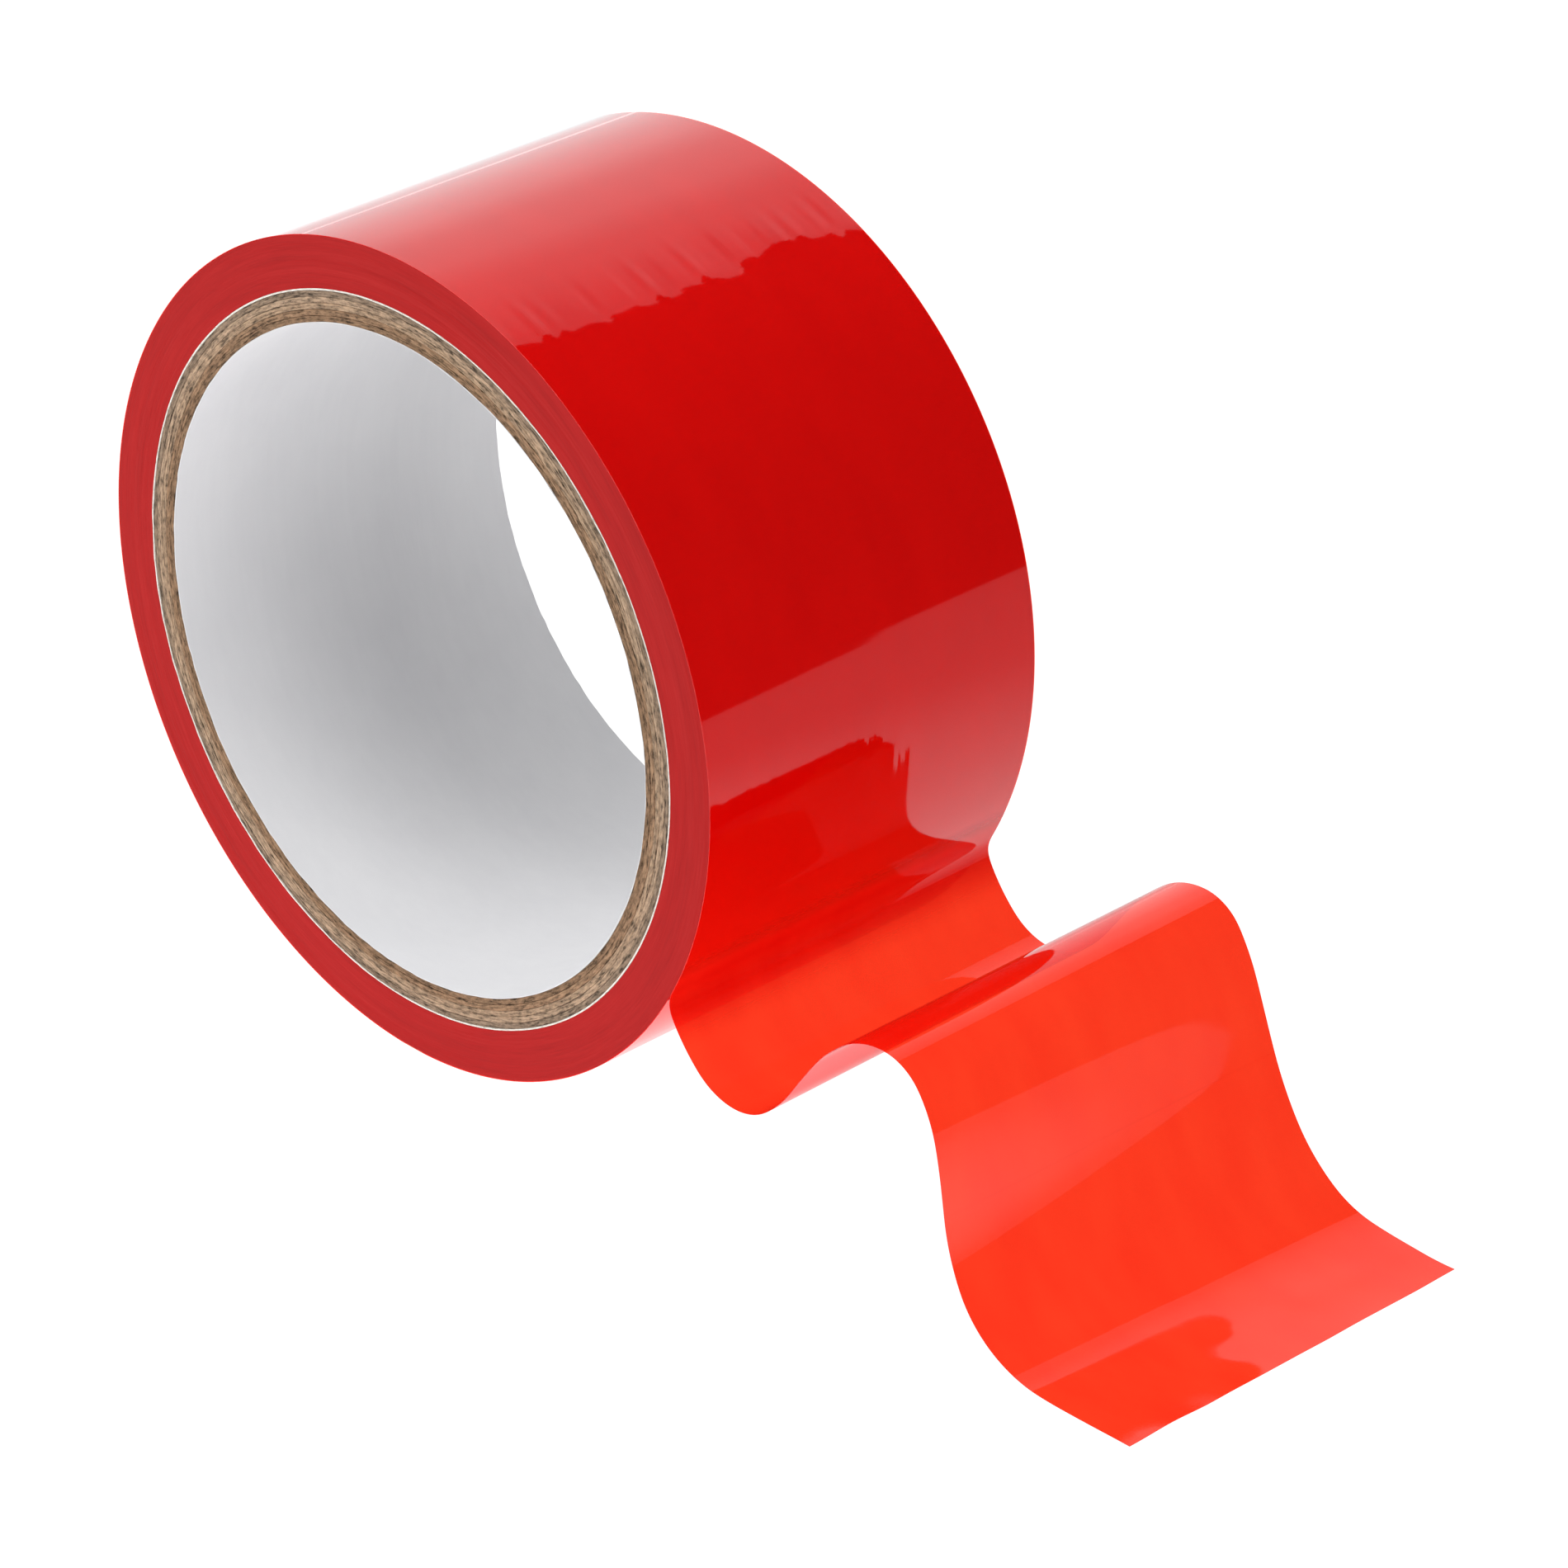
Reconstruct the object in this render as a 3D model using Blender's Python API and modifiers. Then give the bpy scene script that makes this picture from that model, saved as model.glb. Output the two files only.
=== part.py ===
"""A roll of glossy translucent red film tape on a paperboard core, standing on its rim with a free tail.

The roll's axis runs along Y and the tail leaves towards +X.
The origin is on the floor, at the middle of the line that the roll stands on.
"""

import math

import bmesh
import bpy

# Roll, in metres
TAPE_WIDTH = 0.048
CORE_BORE_RADIUS = 0.0381
CORE_OUTER_RADIUS = 0.0419
ROLL_RADIUS = 0.04785
FACETS = 72

# Core wall: a white liner each side of the kraft plies, with a glue line between neighbours
LINER_THICKNESS = 0.00025
KRAFT_PLY_COUNT = 5
GLUE_LINE = 0.0001

# Tape film
FILM_THICKNESS = 0.0002
FILM_CLEARANCE = 0.00015
BEND_GAP = 0.0003

# The line where the film leaves the roll, in degrees up from +X, and the open end of the last turn
LIFT_OFF_ANGLE = -27.5
LAST_TURN_SWEEP = 355.0

# Free tail: distance along the film from the lift-off line in metres, and the film's slope there in degrees
TAIL_SLOPES = (
    (0.0000, -118.0),
    (0.0015, -118.0),
    (0.0040, -65.0),
    (0.0105, -45.0),
    (0.0165, -2.0),
    (0.0215, 37.0),
    (0.0270, 55.0),
    (0.0330, 53.0),
    (0.0390, 37.0),
    (0.0450, 1.0),
    (0.0510, -53.0),
    (0.0570, -73.0),
    (0.0650, -78.0),
    (0.0730, -63.0),
    (0.0810, -30.0),
    (0.0880, 0.0),
    (0.0990, 0.0),
)
STEEPEST_AT = 0.0650
STEEPEST_SLOPE = -78.0

# Bend lines of the tail, as distances along the film
DIP_AT = 0.0167
HUMP_AT = 0.0451
FOOT_AT = 0.0815
TAIL_STEP = 0.0016

FACET_ANGLE = 360.0 / FACETS
AXIS_HEIGHT = ROLL_RADIUS * math.cos(math.radians(FACET_ANGLE / 2))
FILM_MID_RADIUS = ROLL_RADIUS - FILM_THICKNESS / 2
PACK_RADIUS = ROLL_RADIUS - FILM_THICKNESS - FILM_CLEARANCE


def clear_scene():
    """Removes every object that the file opened with."""
    for obj in list(bpy.data.objects):
        bpy.data.objects.remove(obj)


def make_material(name, colour, roughness, metallic=0.0, alpha=1.0):
    """A Principled BSDF material."""
    material = bpy.data.materials.new(name)
    material.use_nodes = True
    shader = material.node_tree.nodes["Principled BSDF"]
    shader.inputs["Base Color"].default_value = (*colour, 1.0)
    shader.inputs["Roughness"].default_value = roughness
    shader.inputs["Metallic"].default_value = metallic
    shader.inputs["Alpha"].default_value = alpha
    return material


def add_object(name, mesh, material, parts, parent):
    """Puts a mesh into the part's collection under its joint's empty, smooth where it is round."""
    mesh.shade_smooth()
    mesh.set_sharp_from_angle(angle=math.radians(30))
    mesh.materials.append(material)
    obj = bpy.data.objects.new(name, mesh)
    parts.objects.link(obj)
    obj.parent = parent
    return obj


def add_empty(name, location, parts, parent=None):
    """An empty on a joint's line. location is in world metres."""
    empty = bpy.data.objects.new(name, None)
    empty.empty_display_size = 0.01
    parts.objects.link(empty)
    empty.location = location
    if parent is not None:
        empty.location = [a - b for a, b in zip(location, world_location(parent))]
        empty.parent = parent
    return empty


def world_location(empty):
    """Where an unturned empty stands, added up along its parents."""
    place = list(empty.location)
    while empty.parent is not None:
        empty = empty.parent
        place = [a + b for a, b in zip(place, empty.location)]
    return place


def turned_tube(name, inner, outer, material, parts, parent):
    """A tube of the tape's width round the roll's axis: a rectangle turned by a Screw modifier."""
    half = TAPE_WIDTH / 2
    mesh = bpy.data.meshes.new(name)
    profile = bmesh.new()
    corners = (
        profile.verts.new((outer, 0, half)),
        profile.verts.new((outer, 0, -half)),
        profile.verts.new((inner, 0, -half)),
        profile.verts.new((inner, 0, half)),
    )
    for start, end in zip(corners, corners[1:] + corners[:1]):
        profile.edges.new((start, end))
    profile.to_mesh(mesh)
    profile.free()
    obj = add_object(name, mesh, material, parts, parent)
    # The turning axis is laid along Y, and half a facet of turn puts a facet flat on the floor.
    obj.rotation_euler = (math.radians(90), math.radians(FACET_ANGLE / 2), 0)
    turn = obj.modifiers.new("Turn", "SCREW")
    turn.angle = math.radians(360)
    turn.steps = FACETS
    turn.render_steps = FACETS
    turn.use_merge_vertices = True
    turn.merge_threshold = 0.00001
    turn.use_smooth_shade = True
    return obj


def film_strip(name, path, material, parts, parent):
    """A strip of film of the tape's width along a path of (x, z) points, thickened by a Solidify modifier."""
    half = TAPE_WIDTH / 2
    origin = world_location(parent)
    mesh = bpy.data.meshes.new(name)
    strip = bmesh.new()
    near_edge = [strip.verts.new((x - origin[0], -half, z - origin[2])) for x, z in path]
    edges = [strip.edges.new(pair) for pair in zip(near_edge, near_edge[1:])]
    swept = bmesh.ops.extrude_edge_only(strip, edges=edges)
    far_edge = [item for item in swept["geom"] if isinstance(item, bmesh.types.BMVert)]
    bmesh.ops.translate(strip, verts=far_edge, vec=(0, TAPE_WIDTH, 0))
    bmesh.ops.recalc_face_normals(strip, faces=strip.faces)
    strip.to_mesh(mesh)
    strip.free()
    obj = add_object(name, mesh, material, parts, parent)
    thicken = obj.modifiers.new("Thicken", "SOLIDIFY")
    thicken.thickness = FILM_THICKNESS
    thicken.offset = 0.0
    thicken.use_even_offset = True
    return obj


def on_roll(radius, degrees):
    """The (x, z) of a point on the roll at an angle up from +X."""
    angle = math.radians(degrees)
    return radius * math.cos(angle), AXIS_HEIGHT + radius * math.sin(angle)


def slope_at(distance, extra):
    """The tail's slope in degrees at a distance along the film, with the bends past its steepest part moved on by extra."""
    stations = [(s + extra if s > STEEPEST_AT else s, slope) for s, slope in TAIL_SLOPES]
    for (start, first), (end, second) in zip(stations, stations[1:]):
        if distance <= end:
            return first + (second - first) * (distance - start) / (end - start)
    return stations[-1][1]


def tail_point(distance, extra, step=0.00005):
    """The (x, z) of the film's middle at a distance from the lift-off line, by adding up short straight steps."""
    x, z = on_roll(FILM_MID_RADIUS, LIFT_OFF_ANGLE)
    count = max(1, round(distance / step))
    stride = distance / count
    for i in range(count):
        slope = math.radians(slope_at((i + 0.5) * stride, extra))
        x += stride * math.cos(slope)
        z += stride * math.sin(slope)
    return x, z


def fall_correction():
    """How far the bends past the steepest part move along the film for its end to lie on the floor."""
    extra = 0.0
    for _ in range(4):
        end_height = tail_point(TAIL_SLOPES[-1][0] + extra, extra)[1]
        extra -= (end_height - FILM_THICKNESS / 2) / math.sin(math.radians(STEEPEST_SLOPE))
    return extra


def tail_stretch(start, end, extra):
    """The path of the film from one distance along it to another."""
    count = max(2, math.ceil((end - start) / TAIL_STEP))
    return [tail_point(start + (end - start) * i / count, extra) for i in range(count + 1)]


def last_turn_path():
    """The last stuck turn: from just above the lift-off line, over the top and round to below the line."""
    count = round(LAST_TURN_SWEEP / FACET_ANGLE)
    path = [on_roll(FILM_MID_RADIUS, LIFT_OFF_ANGLE + FACET_ANGLE * i) for i in range(count + 1)]
    # The end at the lift-off line stays clear of the tail's first edge.
    side = math.dist(path[0], path[1])
    share = BEND_GAP / 2 / side
    path[0] = tuple(a + (b - a) * share for a, b in zip(path[0], path[1]))
    return path


clear_scene()
parts = bpy.data.collections.new("tape_roll")
bpy.context.scene.collection.children.link(parts)

red_film = make_material("red_film", (0.60, 0.006, 0.004), 0.12)
red_film_free = make_material("red_film_free", (0.93, 0.035, 0.012), 0.12)
red_pack = make_material("red_pack", (0.52, 0.03, 0.024), 0.45)
kraft_light = make_material("kraft_light", (0.36, 0.26, 0.17), 0.9)
kraft_dark = make_material("kraft_dark", (0.22, 0.15, 0.09), 0.9)
white_liner = make_material("white_liner", (0.72, 0.72, 0.74), 0.55)

extra = fall_correction()
axis_point = (0.0, 0.0, AXIS_HEIGHT)
lift_x, lift_z = on_roll(FILM_MID_RADIUS, LIFT_OFF_ANGLE)
dip_x, dip_z = tail_point(DIP_AT, extra)
hump_x, hump_z = tail_point(HUMP_AT, extra)
foot_at = FOOT_AT + extra
foot_x, foot_z = tail_point(foot_at, extra)

roll = add_empty("roll_axis", axis_point, parts)
unwind = add_empty("unwind_axis", axis_point, parts, roll)
peel = add_empty("peel_line", (lift_x, 0.0, lift_z), parts, unwind)
dip = add_empty("dip_line", (dip_x, 0.0, dip_z), parts, peel)
hump = add_empty("hump_line", (hump_x, 0.0, hump_z), parts, dip)
foot = add_empty("foot_line", (foot_x, 0.0, foot_z), parts, hump)

# Core, from the bore outwards
layer_inner = CORE_BORE_RADIUS
turned_tube("core_inner_liner", layer_inner, layer_inner + LINER_THICKNESS, white_liner, parts, roll)
layer_inner += LINER_THICKNESS + GLUE_LINE
kraft_room = CORE_OUTER_RADIUS - LINER_THICKNESS - GLUE_LINE - layer_inner
kraft_thickness = (kraft_room - (KRAFT_PLY_COUNT - 1) * GLUE_LINE) / KRAFT_PLY_COUNT
for ply in range(KRAFT_PLY_COUNT):
    colour = kraft_dark if ply < 2 else kraft_light
    turned_tube(f"core_kraft_ply_{ply + 1}", layer_inner, layer_inner + kraft_thickness, colour, parts, roll)
    layer_inner += kraft_thickness + GLUE_LINE
turned_tube("core_outer_liner", layer_inner, CORE_OUTER_RADIUS, white_liner, parts, roll)

# Tape: the wound pack, then the last stuck turn
turned_tube("wound_tape", CORE_OUTER_RADIUS + GLUE_LINE, PACK_RADIUS, red_pack, parts, roll)
film_strip("outer_turn", last_turn_path(), red_film, parts, unwind)

# Free tail, in four lengths that meet at its bend lines
clear = BEND_GAP / 2
tail_end_at = TAIL_SLOPES[-1][0] + extra
film_strip("tail_root", tail_stretch(clear, DIP_AT - clear, extra), red_film_free, parts, peel)
film_strip("tail_rise", tail_stretch(DIP_AT + clear, HUMP_AT - clear, extra), red_film_free, parts, dip)
film_strip("tail_fall", tail_stretch(HUMP_AT + clear, foot_at - clear, extra), red_film_free, parts, hump)
film_strip("tail_end", tail_stretch(foot_at + clear, tail_end_at, extra), red_film_free, parts, foot)
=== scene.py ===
import math

import bpy
import numpy as np
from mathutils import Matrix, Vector


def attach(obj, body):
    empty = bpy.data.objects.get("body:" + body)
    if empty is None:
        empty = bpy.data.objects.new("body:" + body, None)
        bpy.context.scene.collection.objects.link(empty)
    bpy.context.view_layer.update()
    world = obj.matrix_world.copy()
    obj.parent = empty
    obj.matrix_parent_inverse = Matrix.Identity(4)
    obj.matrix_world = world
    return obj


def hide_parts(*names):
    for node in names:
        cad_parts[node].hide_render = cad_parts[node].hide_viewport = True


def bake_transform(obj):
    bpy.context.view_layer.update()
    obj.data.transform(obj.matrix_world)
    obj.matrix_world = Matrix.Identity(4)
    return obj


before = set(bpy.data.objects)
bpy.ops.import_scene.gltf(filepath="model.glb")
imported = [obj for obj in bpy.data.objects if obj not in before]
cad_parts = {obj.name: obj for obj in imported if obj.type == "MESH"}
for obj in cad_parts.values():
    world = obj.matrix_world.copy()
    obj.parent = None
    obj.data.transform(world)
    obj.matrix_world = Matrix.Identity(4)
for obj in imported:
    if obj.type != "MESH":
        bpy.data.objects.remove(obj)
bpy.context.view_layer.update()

# ---------------------------------------------------------------------------
# Bore liner. The bore of the core is lined with one ply of smooth white paper, wound in a spiral, glued to
# the brown board behind it and cut flush with the tape. Calendering gives it a faintly cloudy look.
# ---------------------------------------------------------------------------
TAPE_WIDTH = 0.048
HALF_WIDTH = TAPE_WIDTH / 2
ROLL_RADIUS = 0.04785
# The roll of the CAD model is a prism that stands on one of its facets
CAD_FACETS = 72
AXIS_HEIGHT = ROLL_RADIUS * math.cos(math.pi / CAD_FACETS)
BORE_RADIUS = 0.0381
LINER_THICKNESS = 0.00012
# How far the corners of every cut ring are taken back
CORNER_ROUNDING = 0.00003
# The noise lattice repeats after this many cells, and is read from this cell on
NOISE_CELLS, NOISE_SHIFT = 512, 200.0


def lattice_noise(a, b, cell_a, cell_b, seed, wrap_a=None):
    """Smooth noise from -1 to 1 over two lengths. Random values stand on a lattice of cell_a by cell_b, and a
    point takes the four round it, weighted by 3t^2 - 2t^3 of its place in the cell. With wrap_a the lattice
    closes on itself after that length."""
    rng = np.random.default_rng(seed)
    count_a = max(2, int(round(wrap_a / cell_a))) if wrap_a else NOISE_CELLS
    count_b = NOISE_CELLS
    lattice = rng.uniform(-1, 1, (count_a, count_b))
    place_a = np.asarray(a) / (wrap_a / count_a if wrap_a else cell_a)
    place_b = np.asarray(b) / cell_b + NOISE_SHIFT
    low_a, low_b = np.floor(place_a).astype(int), np.floor(place_b).astype(int)
    t_a, t_b = place_a - low_a, place_b - low_b
    t_a, t_b = t_a * t_a * (3 - 2 * t_a), t_b * t_b * (3 - 2 * t_b)
    a0, a1 = low_a % count_a, (low_a + 1) % count_a
    b0, b1 = low_b % count_b, (low_b + 1) % count_b
    near = lattice[a0, b0] * (1 - t_a) + lattice[a1, b0] * t_a
    far = lattice[a0, b1] * (1 - t_a) + lattice[a1, b1] * t_a
    return near * (1 - t_b) + far * t_b


def quads_between(index):
    """The quads between neighbouring rows and columns of an array of point numbers."""
    corners = [index[:-1, :-1], index[:-1, 1:], index[1:, 1:], index[1:, :-1]]
    return np.stack(corners, axis=-1).reshape(-1, 4)


def mesh_from_quads(name, points, quads):
    """A smooth-shaded mesh object at the origin, from its points and its quads. If the volume under the quads
    comes out negative, all of them are turned round, so that they face outwards."""
    corners = points[quads]
    fan = np.cross(corners[:, 1] - corners[:, 0], corners[:, 2] - corners[:, 0])
    fan += np.cross(corners[:, 2] - corners[:, 0], corners[:, 3] - corners[:, 0])
    if (fan * corners.mean(axis=1)).sum() < 0:
        quads = quads[:, ::-1]
    mesh = bpy.data.meshes.new(name)
    mesh.vertices.add(len(points))
    mesh.vertices.foreach_set("co", points.astype(np.float32).ravel())
    mesh.loops.add(quads.size)
    mesh.loops.foreach_set("vertex_index", quads.astype(np.int32).ravel())
    mesh.polygons.add(len(quads))
    mesh.polygons.foreach_set("loop_start", np.arange(0, quads.size, 4, dtype=np.int32))
    mesh.update(calc_edges=True)
    mesh.shade_smooth()
    obj = bpy.data.objects.new(name, mesh)
    bpy.context.scene.collection.objects.link(obj)
    return obj


def give_vectors(obj, name, values):
    """Stores one vector for each point of a piece, for its material to read."""
    attribute = obj.data.attributes.new(name, "FLOAT_VECTOR", "POINT")
    attribute.data.foreach_set("vector", values.astype(np.float32).ravel())


def turned_ring(name, profile, steps, relief):
    """A closed ring round the roll's axis. The profile is a closed loop of (radius, y) points, and each is
    carried round the axis: x = radius cos(angle), z = axis height + radius sin(angle). relief takes the
    angle, radius and y arrays and gives what is added to the radius and to y. The attribute round_place
    holds (cos angle, sin angle, radius in metres)."""
    angle = np.arange(steps)[:, None] * (2 * math.pi / steps)
    angle = np.broadcast_to(angle, (steps, len(profile)))
    radius = np.broadcast_to(profile[None, :, 0], angle.shape)
    across = np.broadcast_to(profile[None, :, 1], angle.shape)
    more_radius, more_y = relief(angle, radius, across)
    radius, across = radius + more_radius, across + more_y
    points = np.stack([radius * np.cos(angle), across, AXIS_HEIGHT + radius * np.sin(angle)], axis=-1)
    index = np.arange(angle.size).reshape(angle.shape)
    index = np.concatenate([index, index[:1]], axis=0)
    index = np.concatenate([index, index[:, :1]], axis=1)
    obj = mesh_from_quads(name, points.reshape(-1, 3), quads_between(index))
    place = np.stack([np.cos(angle), np.sin(angle), radius], axis=-1)
    give_vectors(obj, "round_place", place.reshape(-1, 3))
    obj.data.set_sharp_from_angle(angle=math.radians(40))
    return obj


def wall_profile(inner, outer, end_steps, wall_steps):
    """The closed cross-section of a tube wall, as (radius, y): both cut ends in end_steps, both walls in
    wall_steps, and each corner cut back by the rounding."""
    radii = np.linspace(inner + CORNER_ROUNDING, outer - CORNER_ROUNDING, end_steps + 1)
    ys = np.linspace(-HALF_WIDTH + CORNER_ROUNDING, HALF_WIDTH - CORNER_ROUNDING, wall_steps + 1)
    far_end = np.stack([radii, np.full_like(radii, HALF_WIDTH)], axis=1)
    outer_wall = np.stack([np.full_like(ys, outer), ys[::-1]], axis=1)
    near_end = np.stack([radii[::-1], np.full_like(radii, -HALF_WIDTH)], axis=1)
    inner_wall = np.stack([np.full_like(ys, inner), ys], axis=1)
    return np.concatenate([far_end, outer_wall, near_end, inner_wall])


def near_cut_end(across, zone):
    """1 at either cut end of the roll, falling evenly to 0 over a zone in from it."""
    return np.clip((np.abs(across) - (HALF_WIDTH - zone)) / zone, 0, 1)


def new_material(name):
    """An empty node material and its output node."""
    material = bpy.data.materials.new(name)
    material.use_nodes = True
    material.node_tree.nodes.clear()
    return material, material.node_tree.nodes.new("ShaderNodeOutputMaterial")


def add_node(material, kind, links=None, **settings):
    """A shader node of a material, light or world. settings are its properties, or its sockets where a name
    starts with a capital, and links join its sockets to other nodes' outputs."""
    tree = material.node_tree
    made = tree.nodes.new(kind)
    for key, value in settings.items():
        if key[0].isupper():
            made.inputs[key.replace("_", " ")].default_value = value
        else:
            setattr(made, key, value)
    for key, output in (links or {}).items():
        tree.links.new(output, made.inputs[key])
    return made


def colour_steps(material, factor, stops):
    """A colour ramp over a factor. stops are (place, colour) pairs."""
    ramp = add_node(material, "ShaderNodeValToRGB", {"Fac": factor})
    while len(ramp.color_ramp.elements) < len(stops):
        ramp.color_ramp.elements.new(0.5)
    for element, (place, colour) in zip(ramp.color_ramp.elements, stops):
        element.position = place
        element.color = (*colour, 1.0)
    return ramp.outputs["Color"]


def stretched_noise(material, source, scale, detail, roughness=0.55):
    """Noise over a vector, finer along the axes that scale makes larger."""
    placed = add_node(material, "ShaderNodeMapping", {"Vector": source})
    placed.inputs["Scale"].default_value = scale
    return add_node(
        material, "ShaderNodeTexNoise", {"Vector": placed.outputs["Vector"]},
        Scale=1.0, Detail=detail, Roughness=roughness,
    ).outputs["Fac"]


def mapped(material, value, at_none, at_full, **settings):
    """A value turned into one from at_none to at_full, as it goes from 0 to 1 or over settings' range."""
    return add_node(
        material, "ShaderNodeMapRange", {"Value": value}, To_Min=at_none, To_Max=at_full, **settings,
    ).outputs["Result"]


def mixed_noise(material, first, second, share):
    """Two noises mixed, with this share of the second."""
    mixed = add_node(material, "ShaderNodeMix", {2: first, 3: second}, data_type="FLOAT")
    mixed.inputs[0].default_value = share
    return mixed.outputs[0]


def paper_liner_material():
    """Calendered white paper: off-white with a faint cloudy look and fainter upright streaks, a soft sheen
    and a fine relief."""
    material, output = new_material("white_liner_paper")
    place = add_node(material, "ShaderNodeTexCoord").outputs["Object"]
    grain = stretched_noise(material, place, (420, 900, 60), 3)
    cloud = stretched_noise(material, place, (70, 90, 70), 3)
    mixed = mixed_noise(material, grain, cloud, 0.7)
    tone = colour_steps(material, mixed, ((0.30, (0.785, 0.785, 0.80)), (0.70, (0.835, 0.835, 0.845))))
    fibre = stretched_noise(material, place, (900, 2600, 900), 3)
    sheen = mapped(material, cloud, 0.5, 0.65)
    relief = add_node(material, "ShaderNodeBump", {"Height": fibre}, Strength=0.25, Distance=0.00004)
    paper = add_node(
        material, "ShaderNodeBsdfPrincipled",
        {"Base Color": tone, "Roughness": sheen, "Normal": relief.outputs["Normal"]},
        Specular_IOR_Level=0.3,
    )
    material.node_tree.links.new(paper.outputs["BSDF"], output.inputs["Surface"])
    return material


def bore_liner_relief(angle, radius, across):
    """The paper follows the board's slight unevenness, 0.02 mm either way, and its cut edge lies from 0.01 mm
    proud to 0.09 mm short."""
    arc = angle * BORE_RADIUS
    circle = 2 * math.pi * BORE_RADIUS
    swell = 0.00002 * lattice_noise(arc, across, 0.012, 0.009, 11, circle)
    ragged = 0.00005 * lattice_noise(arc, np.sign(across) * 0.01, 0.0012, 0.01, 12, circle)
    return swell, np.sign(across) * near_cut_end(across, 0.0006) * (ragged - 0.00004)


bore_liner = turned_ring(
    "bore_liner",
    wall_profile(BORE_RADIUS, BORE_RADIUS + LINER_THICKNESS, end_steps=2, wall_steps=60),
    steps=720, relief=bore_liner_relief,
)
bore_liner.data.materials.append(paper_liner_material())
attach(bore_liner, "roll")
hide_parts("core_inner_liner")

# ---------------------------------------------------------------------------
# Kraft board. Five plies of brown kraft board, each wound on the last with glue and cut through with a
# knife. The cut shows their fibres, a little torn, with the glue lines as thin dark seams and one short
# split near the bore.
# ---------------------------------------------------------------------------
KRAFT_PLIES = 5
KRAFT_INNER = BORE_RADIUS + LINER_THICKNESS
OUTER_LINER_THICKNESS = 0.00020
CORE_RADIUS = 0.0419
KRAFT_OUTER = CORE_RADIUS - OUTER_LINER_THICKNESS
PLY_SEAM = 0.00004
# Where the split is, as degrees round the core: its middle is the lead past the start
SPLIT_AT, SPLIT_LEAD, SPLIT_REACH = 262, 8, 9
KRAFT_TONES = (
    (0.220, 0.134, 0.078),
    (0.262, 0.160, 0.094),
    (0.330, 0.225, 0.146),
    (0.348, 0.242, 0.162),
    (0.236, 0.168, 0.116),
)


def kraft_material(name, tone):
    """Cut kraft board: brown fibre drawn out round the core in light and dark streaks, dull and rough."""
    material, output = new_material(name)
    place = add_node(material, "ShaderNodeAttribute", attribute_name="round_place").outputs["Vector"]
    streak = stretched_noise(material, place, (24, 24, 4200), 5, 0.65)
    fleck = stretched_noise(material, place, (42, 42, 2900), 4, 0.7)
    fibre = mixed_noise(material, streak, fleck, 0.45)
    dark = tuple(channel * 0.24 for channel in tone)
    light = tuple(min(0.9, channel * 1.75) for channel in tone)
    colour = colour_steps(material, fibre, ((0.39, dark), (0.48, tone), (0.60, light)))
    relief = add_node(material, "ShaderNodeBump", {"Height": fibre}, Strength=1.0, Distance=0.00018)
    board = add_node(
        material, "ShaderNodeBsdfPrincipled",
        {"Base Color": colour, "Normal": relief.outputs["Normal"]},
        Roughness=0.92, Specular_IOR_Level=0.18,
    )
    material.node_tree.links.new(board.outputs["BSDF"], output.inputs["Surface"])
    return material


def kraft_relief(ply):
    """The relief of one ply. Its cut ends lie up to 0.12 mm deep and are torn in short runs of fibre. The
    first ply's outer face also stands back at the split, by up to 0.16 mm under a bell-shaped window."""

    def relief(angle, radius, across):
        arc = angle * KRAFT_INNER
        circle = 2 * math.pi * KRAFT_INNER
        side = np.sign(across)
        at_end = near_cut_end(across, 0.0003)
        depth = 0.00003 + 0.00003 * lattice_noise(arc, radius, 0.02, 0.01, 30 + ply, circle)
        torn = 0.00006 * lattice_noise(arc, radius + side * 0.02, 0.0022, 0.00011, 40 + ply, circle)
        from_split = np.mod(angle - math.radians(SPLIT_AT), 2 * math.pi) - math.radians(SPLIT_LEAD)
        split = np.exp(-(from_split / math.radians(SPLIT_REACH)) ** 2)
        ragged = 0.6 + 0.4 * lattice_noise(arc, side * 0.01, 0.0016, 0.01, 50, circle)
        split = split * ragged if ply == 0 else 0.0
        outer_face = np.clip((radius - (KRAFT_INNER + 0.0004)) / 0.0002, 0, 1)
        shrink = -0.00016 * split * outer_face * at_end
        return shrink, side * at_end * (torn - depth)

    return relief


ply_room = (KRAFT_OUTER - KRAFT_INNER) / KRAFT_PLIES
for ply in range(KRAFT_PLIES):
    inner = KRAFT_INNER + ply * ply_room + PLY_SEAM / 2
    board = turned_ring(
        f"kraft_ply_{ply + 1}",
        wall_profile(inner, inner + ply_room - PLY_SEAM, end_steps=7, wall_steps=4),
        steps=1440, relief=kraft_relief(ply),
    )
    board.data.materials.append(kraft_material(f"kraft_board_{ply + 1}", KRAFT_TONES[ply]))
    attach(board, "roll")
    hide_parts(f"core_kraft_ply_{ply + 1}")

# ---------------------------------------------------------------------------
# Outer liner. One more ply of white paper closes the core, and the tape is wound on it. Only its cut edge
# shows, as a thin white line between the brown board and the red tape.
# ---------------------------------------------------------------------------
# The clearance between this ring or the wound pack and the ring inside it
RING_GAP = 0.00001


def outer_liner_relief(angle, radius, across):
    """The white edge stands up to 0.07 mm proud, varies on its way round and wavers by 0.03 mm in radius."""
    arc = angle * CORE_RADIUS
    circle = 2 * math.pi * CORE_RADIUS
    side = np.sign(across)
    at_end = near_cut_end(across, 0.0004)
    proud = 0.00003 + 0.00004 * lattice_noise(arc, side * 0.01, 0.0018, 0.01, 61, circle)
    waver = 0.000030 * lattice_noise(arc, side * 0.01, 0.009, 0.01, 62, circle)
    return waver * at_end, side * at_end * proud


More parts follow.
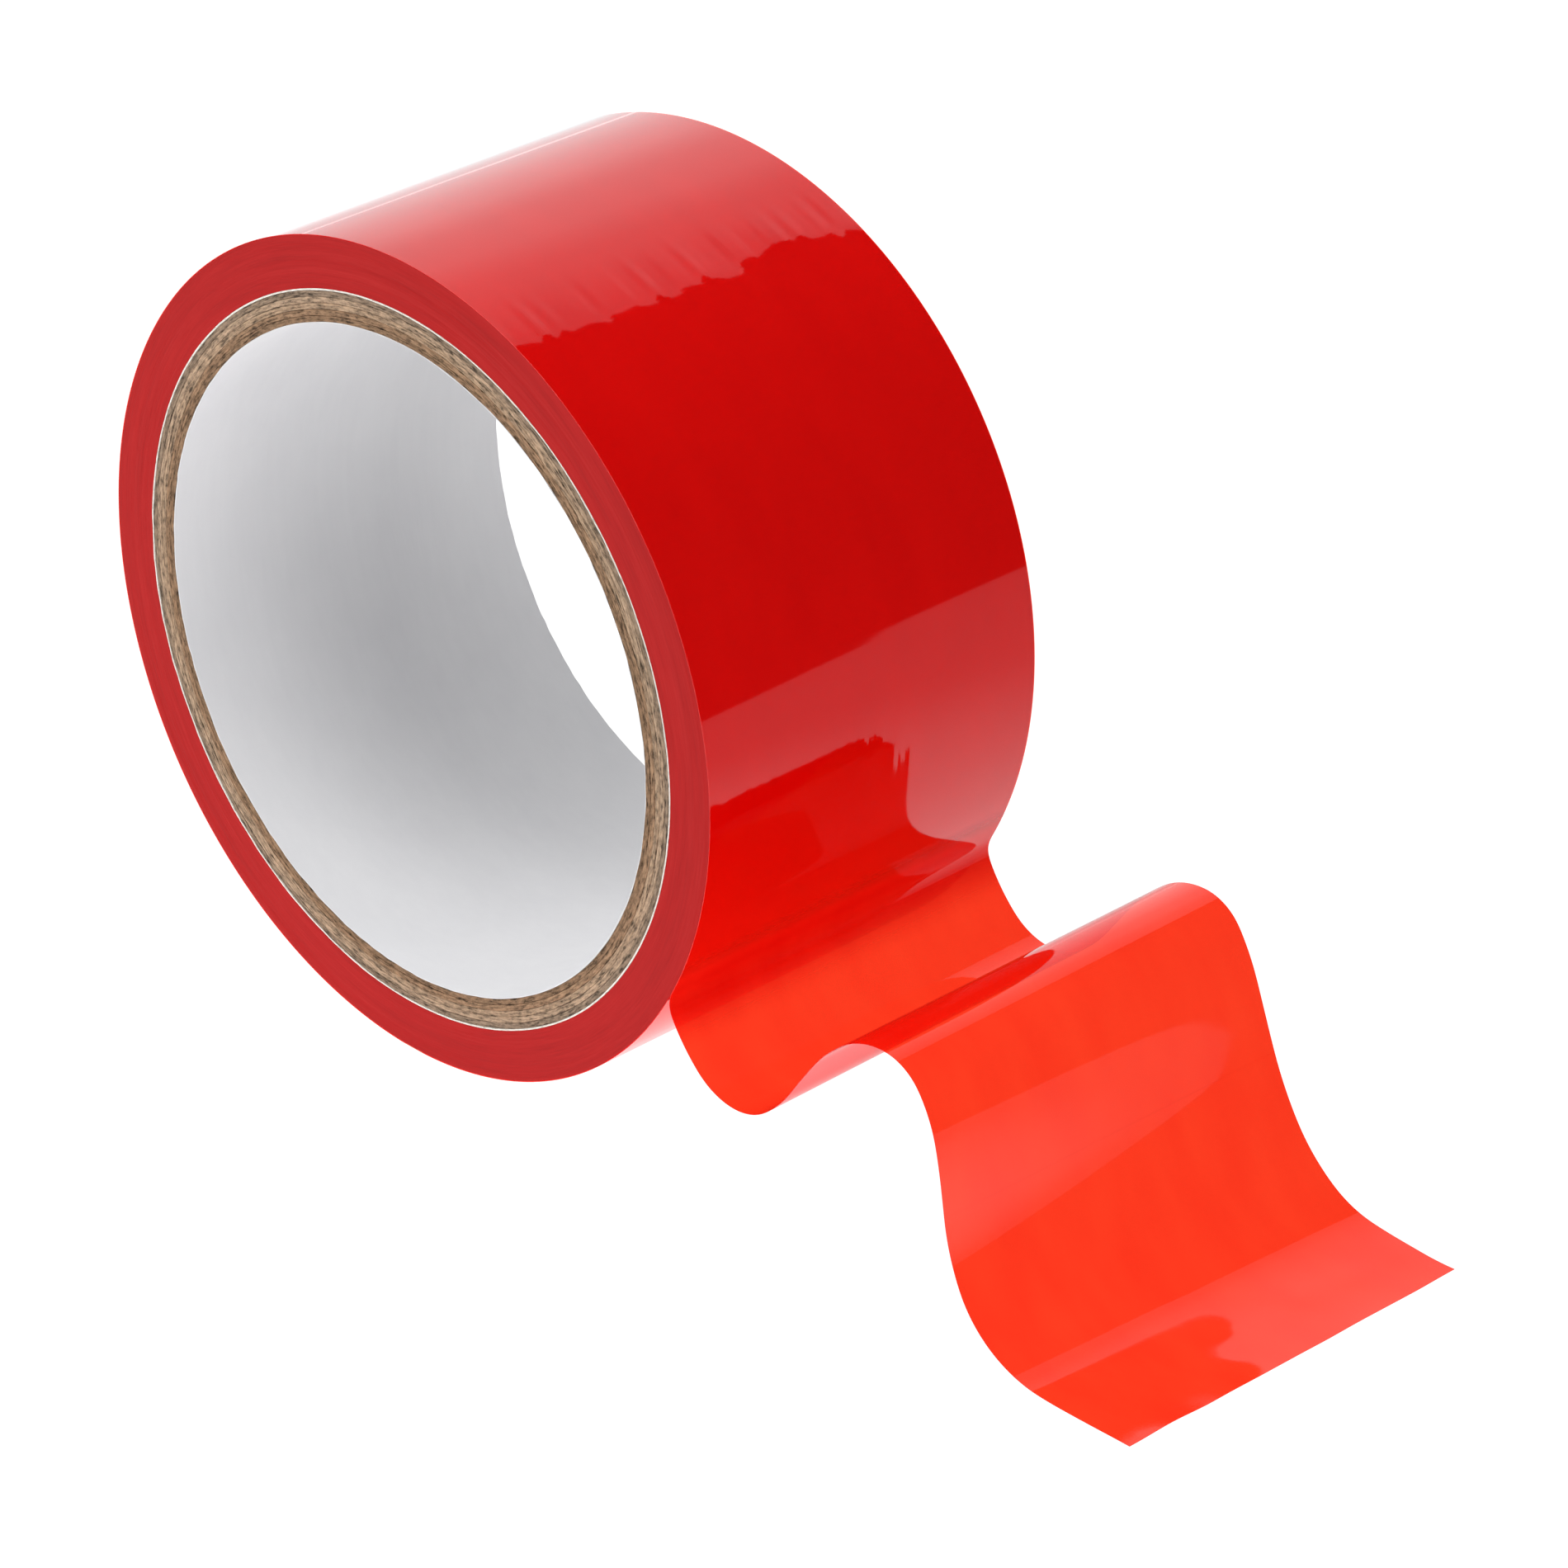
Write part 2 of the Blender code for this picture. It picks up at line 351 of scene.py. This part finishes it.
def outer_liner_material():
    """The cut edge of white paper: bright, soft and slightly warm, with a fibrous grain."""
    material, output = new_material("white_liner_edge")
    place = add_node(material, "ShaderNodeAttribute", attribute_name="round_place").outputs["Vector"]
    streak = stretched_noise(material, place, (60, 60, 9000), 4, 0.6)
    colour = colour_steps(
        material, streak,
        ((0.34, (0.52, 0.47, 0.40)), (0.47, (0.84, 0.80, 0.72)), (0.66, (0.95, 0.93, 0.88))),
    )
    relief = add_node(material, "ShaderNodeBump", {"Height": streak}, Strength=0.4, Distance=0.00005)
    paper = add_node(
        material, "ShaderNodeBsdfPrincipled",
        {"Base Color": colour, "Normal": relief.outputs["Normal"]},
        Roughness=0.8, Specular_IOR_Level=0.3,
    )
    material.node_tree.links.new(paper.outputs["BSDF"], output.inputs["Surface"])
    return material


outer_liner = turned_ring(
    "outer_liner",
    wall_profile(KRAFT_OUTER + RING_GAP, CORE_RADIUS, end_steps=3, wall_steps=4),
    steps=1080, relief=outer_liner_relief,
)
outer_liner.data.materials.append(outer_liner_material())
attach(outer_liner, "roll")
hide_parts("core_outer_liner")

# ---------------------------------------------------------------------------
# Wound pack. The tape below its last turn: over a hundred turns of red film stuck on each other. Its sides
# show the edges of the turns as fine rings, and its outside is seen only through the last turn.
# ---------------------------------------------------------------------------
FILM_THICKNESS = 0.00005
PACK_INNER = CORE_RADIUS + RING_GAP
# The last turn bends a little as it peels, so it keeps this clear of the pack
LAST_TURN_GAP = 0.00003
PACK_OUTER = ROLL_RADIUS - FILM_THICKNESS - LAST_TURN_GAP


def pack_relief(angle, radius, across):
    """Each turn's edge lies up to 0.024 mm in or out of the side face, changing slowly round the roll."""
    arc = angle * CORE_RADIUS
    circle = 2 * math.pi * CORE_RADIUS
    side = np.sign(across)
    on_side = near_cut_end(across, 0.0002)
    rings = 0.000010 * lattice_noise(arc, radius + side * 0.02, 0.05, 0.00022, 71, circle)
    rings = rings + 0.000014 * lattice_noise(arc, radius + side * 0.02, 0.09, 0.0009, 72, circle)
    return np.zeros_like(radius), side * on_side * rings


def pack_material():
    """Stacked edges of red film: satin red with fine rings. The pack's outside is a purer, brighter red, as
    the film that is stuck on it looks."""
    material, output = new_material("red_pack_edges")
    place = add_node(material, "ShaderNodeAttribute", attribute_name="round_place").outputs["Vector"]
    radius = add_node(material, "ShaderNodeSeparateXYZ", {"Vector": place}).outputs["Z"]
    ring = stretched_noise(material, place, (9.0, 9.0, 6500), 5, 0.65)
    broad = stretched_noise(material, place, (2.0, 2.0, 900), 3, 0.5)
    colour = colour_steps(
        material, mixed_noise(material, ring, broad, 0.4),
        ((0.30, (0.35, 0.003, 0.003)), (0.50, (0.435, 0.005, 0.005)), (0.72, (0.49, 0.011, 0.010))),
    )
    rim = mapped(
        material, radius, 0.0, 1.0,
        From_Min=PACK_OUTER - 0.00002, From_Max=PACK_OUTER - 0.000005, interpolation_type="SMOOTHSTEP",
    )
    deep = add_node(material, "ShaderNodeMix", {0: rim, 6: colour}, data_type="RGBA")
    deep.inputs[7].default_value = (0.90, 0.004, 0.003, 1.0)
    relief = add_node(material, "ShaderNodeBump", {"Height": ring}, Strength=0.35, Distance=0.00004)
    edges = add_node(
        material, "ShaderNodeBsdfPrincipled",
        {"Base Color": deep.outputs[2], "Normal": relief.outputs["Normal"]},
        Roughness=0.62, Specular_IOR_Level=0.12,
    )
    material.node_tree.links.new(edges.outputs["BSDF"], output.inputs["Surface"])
    return material


wound_pack = turned_ring(
    "wound_pack",
    wall_profile(PACK_INNER, PACK_OUTER, end_steps=48, wall_steps=6),
    steps=720, relief=pack_relief,
)
wound_pack.data.materials.append(pack_material())
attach(wound_pack, "roll")
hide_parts("wound_tape")

# ---------------------------------------------------------------------------
# Tape film. One strip of clear red film makes the last turn, the peel line and the whole free tail, which
# dips, rises in a hump, falls steeply with a slight twist and lies down flat with a straight cut. It is made
# in four pieces that meet edge to edge, one for each of its bend lines.
# ---------------------------------------------------------------------------
LIFT_OFF = math.radians(-27.5)
FILM_MID = ROLL_RADIUS - FILM_THICKNESS / 2
TURN_LENGTH = 2 * math.pi * FILM_MID
# Distances along the film are from the line where it leaves the roll. One turn back from there the film's
# hidden end stops a little short of that line
HIDDEN_END = 0.0024 - TURN_LENGTH
ROOT_SEAM, RISE_SEAM, FALL_SEAM, TAIL_LENGTH = 0.0085, 0.0300, 0.0650, 0.0991
# Distance along the film in millimetres, and its slope there in degrees at the near and the far edge
TAIL_SLOPES = np.array([
    (0.0, -118, -118), (1.5, -118, -118), (4.0, -61, -62), (10.5, -43, -43), (16.5, -1, 0),
    (21.5, 38, 38), (27.0, 56, 54), (33.0, 53, 52), (39.0, 36, 36), (45.0, 0, 0),
    (51.0, -55, -56.5), (57.0, -77, -69.4), (61.0, -81, -70), (65.0, -82, -69), (73.0, -65, -58),
    (81.0, -29, -36), (87.0, -4, -8), (91.0, 0, -3.5), (94.0, 1, -4.5), (96.5, 1.5, 1), (99.1, 1.5, 6),
])
PATH_STEP = 0.00005
# The path's slope is eased by a bell of this half-width, cut off this many steps out
EASE_HALF_WIDTH, EASE_STEPS = 0.0008, 60
# The path takes over from the circle here, over a length of the same circle
ANCHOR, ANCHOR_LENGTH = -0.006, 0.004
# The foot is let down to the floor from here on, over this length, by its lowest point past FOOT_FROM
LET_DOWN_FROM, LET_DOWN_OVER, FOOT_FROM = 0.058, 0.032, 0.085
# Angle round the roll, in degrees above level, of the two lines that the ridges lie on
TOP_RIDGES_AT, LOW_RIDGES_AT = 64.8, -1.0
TOP_RIDGES_REACH, LOW_RIDGES_REACH = 0.0038, 0.0035
# Distance across the film in millimetres, and how far the ridge there tilts the film, in degrees
RIDGE_TILTS = np.array([
    (-24.0, 2.3), (-22.0, 1.7), (-19.0, 0.9), (-16.0, 0.3), (-13.0, -0.1), (-4.0, 0.0), (0.0, 0.2),
    (3.2, 0.1), (4.6, -0.6), (6.4, -0.9), (7.6, 1.0), (9.0, 1.0), (10.0, -0.1), (11.0, 0.3),
    (12.6, 1.7), (15.0, 1.2), (17.3, 0.6), (19.0, -0.5), (20.9, -1.5), (24.0, -2.4),
])
# The cut end: how far back the knife's line shows in the film, and how far it runs askew and wanders
CUT_ZONE, CUT_ASKEW, CUT_WANDER = 0.006, 0.0007, 0.00018
FILM_COLUMNS = 140


def edge_path(slopes):
    """The middle of the film along one of its edges: distances, x, z and slope in radians. On the roll the
    slope is the circle's tangent. On the tail it runs straight from station to station and is then eased by a
    bell-shaped average. x and z add up cos and sin of the slope from a point on the roll, and the foot is let
    down smoothly until it lies on the floor."""
    along = np.arange(ANCHOR - ANCHOR_LENGTH, TAIL_LENGTH + ANCHOR_LENGTH, PATH_STEP)
    circle = LIFT_OFF - along / FILM_MID - math.pi / 2
    slope = np.where(along < 0, circle, np.radians(np.interp(along * 1000, TAIL_SLOPES[:, 0], slopes)))
    reach = np.arange(-EASE_STEPS, EASE_STEPS + 1) * PATH_STEP
    bell = np.exp(-(reach / EASE_HALF_WIDTH) ** 2)
    padded = np.pad(slope, EASE_STEPS, mode="edge")
    slope = np.convolve(padded, bell / bell.sum(), mode="valid")
    start = int(np.searchsorted(along, ANCHOR))
    along, slope = along[start:], slope[start:]
    angle = LIFT_OFF - along[0] / FILM_MID
    middle = (slope[1:] + slope[:-1]) / 2
    forward = np.concatenate([[0], np.cumsum(np.cos(middle) * PATH_STEP)])
    upward = np.concatenate([[0], np.cumsum(np.sin(middle) * PATH_STEP)])
    x = FILM_MID * math.cos(angle) + forward
    z = AXIS_HEIGHT + FILM_MID * math.sin(angle) + upward
    ease = np.clip((along - LET_DOWN_FROM) / LET_DOWN_OVER, 0, 1)
    z -= (z[along > FOOT_FROM].min() - FILM_THICKNESS) * ease * ease * (3 - 2 * ease)
    return along, x, z, slope


near_edge = edge_path(TAIL_SLOPES[:, 1])
far_edge = edge_path(TAIL_SLOPES[:, 2])


def film_middle(along, across):
    """Where the film's middle lies, and its outward normal. On the roll it is a circle. Past the anchor a
    point is on the straight line between the near and far edges' paths, in proportion to its place across."""
    angle = LIFT_OFF - along / FILM_MID
    share = across / TAPE_WIDTH + 0.5
    tail_x, tail_z, tail_slope = (
        np.interp(along, near_edge[0], near) * (1 - share) + np.interp(along, far_edge[0], far) * share
        for near, far in zip(near_edge[1:], far_edge[1:])
    )
    off_roll = np.clip((along - ANCHOR) / ANCHOR_LENGTH, 0, 1)
    x = FILM_MID * np.cos(angle) * (1 - off_roll) + tail_x * off_roll
    z = (AXIS_HEIGHT + FILM_MID * np.sin(angle)) * (1 - off_roll) + tail_z * off_roll
    slope = np.where(along < ANCHOR, angle - math.pi / 2, tail_slope)
    middle = np.stack([x, across, z], axis=-1)
    normal = np.stack([-np.sin(slope), np.zeros_like(slope), np.cos(slope)], axis=-1)
    return middle, normal


def film_ripple(along, across):
    """How far the film stands in or out of its smooth path: long shallow swells everywhere, and shorter and
    deeper ones near the cut end."""
    near_cut = np.clip((along - 0.084) / 0.008, 0, 1)
    swell = 0.000008 * lattice_noise(along, across, 0.011, 0.009, 81)
    return swell + near_cut * 0.00005 * lattice_noise(along, across, 0.0048, 0.0045, 85)


def winding_ridges(along, across):
    """The height of the narrow ridges on the last turn. Near each of two lines across the roll every narrow
    strip of the film is tilted by its own small angle, so the height is that angle times the distance from
    the line, under a bell-shaped window."""
    from_top = along - FILM_MID * (LIFT_OFF - math.radians(TOP_RIDGES_AT))
    from_low = along - FILM_MID * (LIFT_OFF - math.radians(LOW_RIDGES_AT))
    still = 0 * across
    top_tilt = np.radians(np.interp(across * 1000, RIDGE_TILTS[:, 0], RIDGE_TILTS[:, 1]))
    top_tilt = top_tilt + 0.015 * lattice_noise(across, still, 0.0011, 0.01, 86)
    middle = np.exp(-(((across - 0.001) / 0.0038) ** 2))
    edge = np.exp(-(((across + 0.0225) / 0.0012) ** 2))
    low_tilt = (0.003 + 0.018 * middle) * lattice_noise(across, still, 0.0009, 0.01, 88) + 0.015 * edge
    top = -top_tilt * from_top * np.exp(-((from_top / TOP_RIDGES_REACH) ** 2))
    return top + low_tilt * from_low * np.exp(-((from_low / LOW_RIDGES_REACH) ** 2))


def film_piece(name, stations):
    """A closed strip of film with a row of points at each station, a distance along the film. Its
    cross-section is a loop over the top face and back under the bottom face, each half a thickness from the
    middle along the normal. A row of quads closes each end."""
    across = np.linspace(-HALF_WIDTH, HALF_WIDTH, FILM_COLUMNS + 1)
    along, across = np.broadcast_arrays(stations[:, None], across[None, :])
    # The last millimetres follow the knife, whose line runs askew and wanders
    cut = np.clip((along - (TAIL_LENGTH - CUT_ZONE)) / CUT_ZONE, 0, 1)
    wander = CUT_WANDER * lattice_noise(across, 0 * across, 0.006, 0.01, 84)
    along = along + cut * (-CUT_ASKEW * across / HALF_WIDTH + wander)
    middle, normal = film_middle(along, across)
    middle = middle + normal * film_ripple(along, across)[..., None]
    top = middle + normal * (FILM_THICKNESS / 2)
    bottom = middle - normal * (FILM_THICKNESS / 2)
    loop = np.concatenate([top, bottom[:, ::-1]], axis=1)
    index = np.arange(loop.shape[0] * loop.shape[1]).reshape(loop.shape[:2])
    closed = np.concatenate([index, index[:, :1]], axis=1)
    over, under = np.split(index, 2, axis=1)
    under = under[:, ::-1]
    first, last = quads_between(np.stack([under[0], over[0]])), quads_between(np.stack([over[-1], under[-1]]))
    quads = np.concatenate([quads_between(closed), first, last])
    obj = mesh_from_quads(name, loop.reshape(-1, 3), quads)
    # Stuck to the roll and backed by it: 1 on the last turn, falling to 0 where the film leaves it
    backed = np.clip(-along / 0.004, 0, 1)
    # Just pulled off the roll: 1 where the film leaves it, and 0 again a few millimetres further on
    pulled = np.clip((0.0085 - along) / 0.0070, 0, 1) * np.clip((along + 0.0045) / 0.0040, 0, 1)
    pulled = pulled * pulled * (3 - 2 * pulled)
    place = np.stack([along, across, 0 * along], axis=-1)
    state = np.stack([backed, winding_ridges(along, across), pulled], axis=-1)
    give_vectors(obj, "film_place", np.concatenate([place, place[:, ::-1]], axis=1).reshape(-1, 3))
    give_vectors(obj, "film_state", np.concatenate([state, state[:, ::-1]], axis=1).reshape(-1, 3))
    obj.data.set_sharp_from_angle(angle=math.radians(60))
    return obj


def red_film_material():
    """Clear red plastic film. Each face passes light through a red tint and scatters a little of it, more
    where the film has just been pulled off, and mirrors its surroundings by Fresnel's rule. Faces met from
    inside the film mirror nothing. Where the film is stuck to the roll its gloss is stronger."""
    material, output = new_material("clear_red_film")
    place = add_node(material, "ShaderNodeAttribute", attribute_name="film_place").outputs["Vector"]
    state = add_node(material, "ShaderNodeAttribute", attribute_name="film_state").outputs["Vector"]
    state = add_node(material, "ShaderNodeSeparateXYZ", {"Vector": state})
    backed, ridges, pulled = state.outputs["X"], state.outputs["Y"], state.outputs["Z"]
    cloud = stretched_noise(material, place, (60, 160, 0), 3)
    tint = colour_steps(material, cloud, ((0.3, (0.985, 0.228, 0.128)), (0.7, (0.995, 0.258, 0.143))))
    body = colour_steps(material, cloud, ((0.3, (0.93, 0.009, 0.004)), (0.7, (0.98, 0.016, 0.007))))
    waves = add_node(material, "ShaderNodeBump", {"Height": ridges}, Strength=1.0, Distance=1.0)
    fine = stretched_noise(material, place, (420, 1500, 0), 3)
    normal = add_node(
        material, "ShaderNodeBump", {"Height": fine, "Normal": waves.outputs["Normal"]},
        Strength=0.1, Distance=0.000012,
    ).outputs["Normal"]
    clear = add_node(material, "ShaderNodeBsdfTransparent", {"Color": tint})
    scattered = add_node(material, "ShaderNodeBsdfDiffuse", {"Color": body, "Normal": normal})
    passed = add_node(material, "ShaderNodeBsdfTranslucent", {"Color": body})
    through = mapped(material, pulled, 0.5, 0.0)
    haze = add_node(
        material, "ShaderNodeMixShader", {0: through, 1: scattered.outputs[0], 2: passed.outputs[0]},
    )
    milky = mapped(material, pulled, 0.2, 0.85)
    film = add_node(material, "ShaderNodeMixShader", {0: milky, 1: clear.outputs[0], 2: haze.outputs[0]})
    fresnel = add_node(material, "ShaderNodeFresnel", {"Normal": normal}, IOR=1.47)
    from_inside = add_node(material, "ShaderNodeNewGeometry").outputs["Backfacing"]
    outside = add_node(material, "ShaderNodeMath", {1: from_inside}, operation="SUBTRACT")
    outside.inputs[0].default_value = 1.0
    mirror = add_node(
        material, "ShaderNodeMath", {0: fresnel.outputs[0], 1: outside.outputs[0]}, operation="MULTIPLY",
    )
    gain = mapped(material, backed, 1.0, 1.5)
    mirror = add_node(
        material, "ShaderNodeMath", {0: mirror.outputs[0], 1: gain}, operation="MULTIPLY", use_clamp=True,
    )
    gloss = add_node(material, "ShaderNodeBsdfGlossy", {"Normal": normal}, Roughness=0.05)
    surface = add_node(
        material, "ShaderNodeMixShader", {0: mirror.outputs[0], 1: film.outputs[0], 2: gloss.outputs[0]},
    )
    material.node_tree.links.new(surface.outputs[0], output.inputs["Surface"])
    return material


# The stations lie closer together from here on, where the film starts to bend away from the roll
FINE_FROM = -0.002
stuck_stations = np.linspace(HIDDEN_END, FINE_FROM, 262)[:-1]
bent_stations = np.linspace(FINE_FROM, ROOT_SEAM, 70)
last_turn = film_piece("last_turn_film", np.concatenate([stuck_stations, bent_stations]))
dip_film = film_piece("dip_film", np.linspace(ROOT_SEAM, RISE_SEAM, 100))
hump_film = film_piece("hump_film", np.linspace(RISE_SEAM, FALL_SEAM, 141))
foot_film = film_piece("foot_film", np.linspace(FALL_SEAM, TAIL_LENGTH, 137))
red_film = red_film_material()
for piece in (last_turn, dip_film, hump_film, foot_film):
    piece.data.materials.append(red_film)

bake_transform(last_turn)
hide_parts("outer_turn")


def bend_about(piece):
    """Bakes a piece of the tail's placement into the points of its mesh."""
    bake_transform(piece)


bend_about(dip_film)
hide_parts("tail_root")

bend_about(hump_film)
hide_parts("tail_rise")

bend_about(foot_film)
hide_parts("tail_fall", "tail_end")

# ---------------------------------------------------------------------------
# Studio. A white table lit from within stands before a soft white wall that fades upwards. A large softbox
# lights the roll from the camera's side and a smaller one from the right, in a dim room, as for a product
# picture of something glossy.
# ---------------------------------------------------------------------------
TABLE_OUTLINE = (
    (-1.5, -1.5), (0.34, -1.5), (0.34, 0.172), (0.409, 0.298), (0.49, 0.37), (0.49, 1.5), (-1.5, 1.5),
)
# Just under the floor, so that nothing that lies on the floor shares a plane with it
TABLE_LEVEL = -0.00002
table_mesh = bpy.data.meshes.new("table_top")
table_points = [(x, y, TABLE_LEVEL) for x, y in TABLE_OUTLINE]
table_mesh.from_pydata(table_points, [], [tuple(range(len(TABLE_OUTLINE)))])
table = bpy.data.objects.new("table_top", table_mesh)
bpy.context.scene.collection.objects.link(table)


def table_material():
    """A white light table. Its own light hides every shadow. What it sends to the object is its paper's
    share, white on the camera's side and painted grey towards the far corner as painted shade, and a soft
    light of its own, full on the camera's side and dimmer towards the far corner, with a brighter patch on
    the left."""
    material, output = new_material("table_white")
    place = add_node(material, "ShaderNodeTexCoord").outputs["Object"]

    def share_towards(direction):
        """0 on the camera's side to 1 past the object, along a direction over the table."""
        across = add_node(material, "ShaderNodeVectorMath", {0: place}, operation="DOT_PRODUCT")
        across.inputs[1].default_value = direction
        return mapped(
            material, across.outputs["Value"], 0.0, 1.0,
            From_Min=-0.02, From_Max=0.16, interpolation_type="SMOOTHSTEP",
        )

    # The paper's colour is painted shade: white on the camera's side, grey past the object towards the far
    # corner
    tone = colour_steps(
        material, share_towards((0.77, 0.64, 0.0)), ((0.0, (0.92, 0.92, 0.93)), (1.0, (0.56, 0.56, 0.56))),
    )
    paper = add_node(material, "ShaderNodeBsdfDiffuse", {"Color": tone})
    front = colour_steps(
        material, share_towards((0.35, 0.94, 0.0)), ((0.0, (0.80, 0.80, 0.80)), (1.0, (0.0, 0.0, 0.0))),
    )
    from_left = add_node(material, "ShaderNodeSeparateXYZ", {"Vector": place}).outputs["X"]
    left = mapped(
        material, from_left, 0.0, 0.45, From_Min=-0.08, From_Max=-0.20, interpolation_type="SMOOTHSTEP",
    )
    inner = add_node(material, "ShaderNodeMix", {0: left, 6: front}, data_type="RGBA")
    inner.inputs[7].default_value = (1.1, 1.1, 1.1, 1.0)
    inner = add_node(material, "ShaderNodeEmission", {"Color": inner.outputs[2]}, Strength=1.0)
    lit = add_node(material, "ShaderNodeAddShader", {0: paper.outputs[0], 1: inner.outputs[0]})
    glow = add_node(material, "ShaderNodeEmission", Color=(1, 1, 1, 1), Strength=1.12)
    seen = add_node(material, "ShaderNodeLightPath").outputs["Is Camera Ray"]
    surface = add_node(material, "ShaderNodeMixShader", {0: seen, 1: lit.outputs[0], 2: glow.outputs[0]})
    material.node_tree.links.new(surface.outputs[0], output.inputs["Surface"])
    return material


table_mesh.materials.append(table_material())


def soft_light(name, spot, aim, width, height, radiances):
    """A rectangular soft light at a spot, facing along aim. With a power of pi times its area, in watts, each
    point sends out the radiance that the steps give for its height, from 0 at the light's foot to 1 at its
    top. It can't be seen by the camera itself."""
    light = bpy.data.lights.new(name, "AREA")
    light.shape = "RECTANGLE"
    light.size, light.size_y = width, height
    light.energy = math.pi * width * height
    light.use_nodes = True
    light.node_tree.nodes.clear()
    place = add_node(light, "ShaderNodeNewGeometry").outputs["Parametric"]
    height_share = add_node(light, "ShaderNodeSeparateXYZ", {0: place}).outputs["Y"]
    greys = [(step, (radiance, radiance, radiance)) for step, radiance in radiances]
    emission = add_node(light, "ShaderNodeEmission", {"Color": colour_steps(light, height_share, greys)})
    add_node(light, "ShaderNodeOutputLight", {"Surface": emission.outputs[0]})
    lamp = bpy.data.objects.new(name, light)
    lamp.location = spot
    lamp.rotation_euler = (-Vector(aim)).to_track_quat("Z", "Y").to_euler()
    lamp.visible_camera = False
    bpy.context.scene.collection.objects.link(lamp)


def even_softbox(name, way, distance, width, height, radiance):
    """A soft light of one radiance, a distance from the roll's foot along a way and facing back along it."""
    way = Vector(way).normalized()
    spot = way * distance + Vector((0.03, 0.0, 0.04))
    soft_light(name, spot, -way, width, height, ((0.0, radiance), (1.0, radiance)))


# The wall stands behind the roll, off the camera's axis, and its left edge cuts off the roll's top highlight
WALL_AZIMUTH, WALL_DISTANCE, WALL_ASIDE, WALL_MIDDLE = math.radians(118), 1.3, 0.5675, (0.02, 0.0, 1.04)
WALL_RADIANCES = (
    (0.0, 1.12), (0.12, 1.17), (0.26, 1.19), (0.36, 1.03), (0.49, 1.06), (0.59, 0.84), (0.66, 0.80),
    (0.80, 0.56), (1.0, 0.50),
)
wall_way = Vector((math.cos(WALL_AZIMUTH), math.sin(WALL_AZIMUTH), 0.0))
wall_side = Vector((-wall_way.y, wall_way.x, 0.0))
wall_spot = wall_way * WALL_DISTANCE + wall_side * WALL_ASIDE + Vector(WALL_MIDDLE)
soft_light("back_wall", wall_spot, -wall_way, 1.965, 2.20, WALL_RADIANCES)
even_softbox("key_softbox", (-0.28, -0.50, 0.82), distance=1.5, width=1.2, height=1.2, radiance=3.65)
even_softbox("fill_softbox", (0.77, 0.0, 0.64), distance=1.2, width=0.7, height=1.0, radiance=2.85)

world = bpy.data.worlds.new("dim_room")
world.use_nodes = True
bpy.context.scene.world = world
world.node_tree.nodes.clear()
white = add_node(world, "ShaderNodeBackground", Color=(1.0, 1.0, 1.0, 1.0), Strength=1.0)
room = add_node(world, "ShaderNodeBackground", Color=(0.95, 0.97, 1.0, 1.0), Strength=0.05)
camera_ray = add_node(world, "ShaderNodeLightPath").outputs["Is Camera Ray"]
backdrop = add_node(world, "ShaderNodeMixShader", {0: camera_ray, 1: room.outputs[0], 2: white.outputs[0]})
add_node(world, "ShaderNodeOutputWorld", {"Surface": backdrop.outputs[0]})

CAMERA_AZIMUTH, CAMERA_ELEVATION = math.radians(45.70), math.radians(28.55)
CAMERA_TARGET, CAMERA_DISTANCE = (0.02371, 0.01011, 0.02959), 0.67056
toward_camera = Vector((
    math.sin(CAMERA_AZIMUTH) * math.cos(CAMERA_ELEVATION),
    -math.cos(CAMERA_AZIMUTH) * math.cos(CAMERA_ELEVATION),
    math.sin(CAMERA_ELEVATION),
))
camera_data = bpy.data.cameras.new("product_camera")
camera_data.sensor_width = 36.0
camera_data.lens = 140.7
camera_data.clip_start, camera_data.clip_end = 0.01, 20.0
camera = bpy.data.objects.new("product_camera", camera_data)
camera.location = Vector(CAMERA_TARGET) + toward_camera * CAMERA_DISTANCE
camera.rotation_euler = toward_camera.to_track_quat("Z", "Y").to_euler()
bpy.context.scene.collection.objects.link(camera)
bpy.context.scene.camera = camera
bpy.context.scene.view_settings.view_transform = "Standard"
bpy.context.scene.view_settings.look = "None"
# Where the tail folds, a ray passes through many faces of clear film one after another
bpy.context.scene.cycles.transparent_max_bounces = 48
